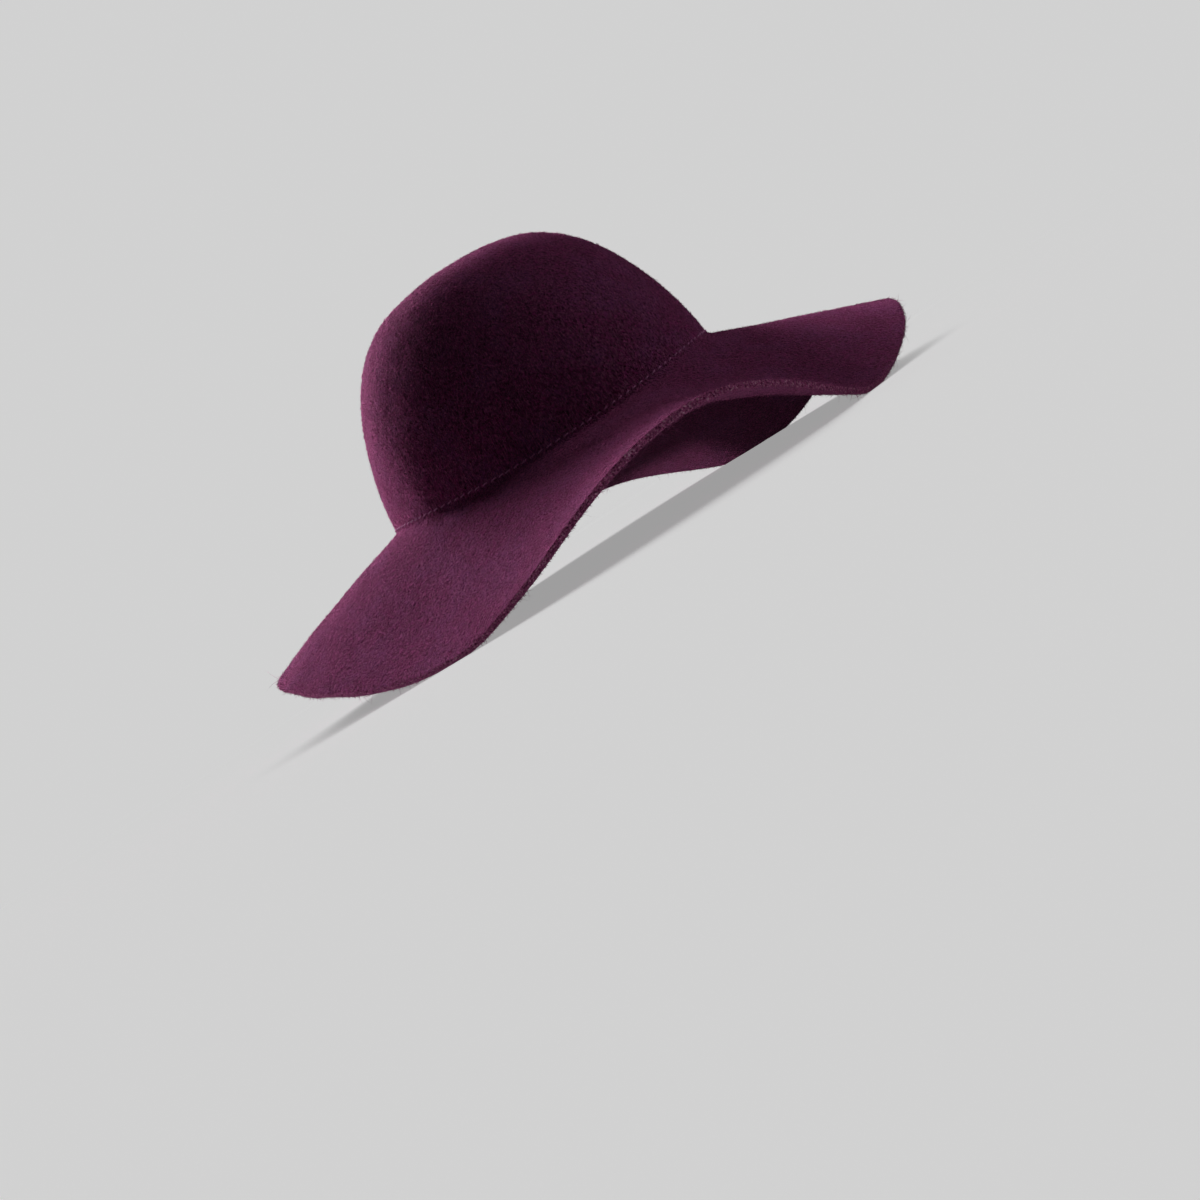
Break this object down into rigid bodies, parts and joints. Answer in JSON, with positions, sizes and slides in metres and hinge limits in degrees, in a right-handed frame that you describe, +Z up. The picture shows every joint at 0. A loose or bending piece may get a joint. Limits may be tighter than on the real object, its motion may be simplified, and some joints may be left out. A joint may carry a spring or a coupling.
{
  "type": "wide-brim felt hat",
  "caption": "Wide-brim floppy wool felt hat with a round dome crown, a wavy raw-edged brim and a plain inner band; it is worn on the head and rests crown up.",
  "frame": {"origin": "under the middle of the outline, on the surface that the brim's low folds rest on", "axes": "+Z up through the crown, -Y towards the hat's front, -X towards the wearer's right"},
  "size_m": [0.3698, 0.3952, 0.173],
  "materials": {
    "felt": "dark aubergine wool felt with a soft brushed nap, matt with a mauve sheen at grazing angles",
    "ribbon": "dark ribbed ribbon, slightly satin"
  },
  "bodies": {
    "root": {"felt_body": "felt", "sweatband": "ribbon"}
  },
  "joints": []
}
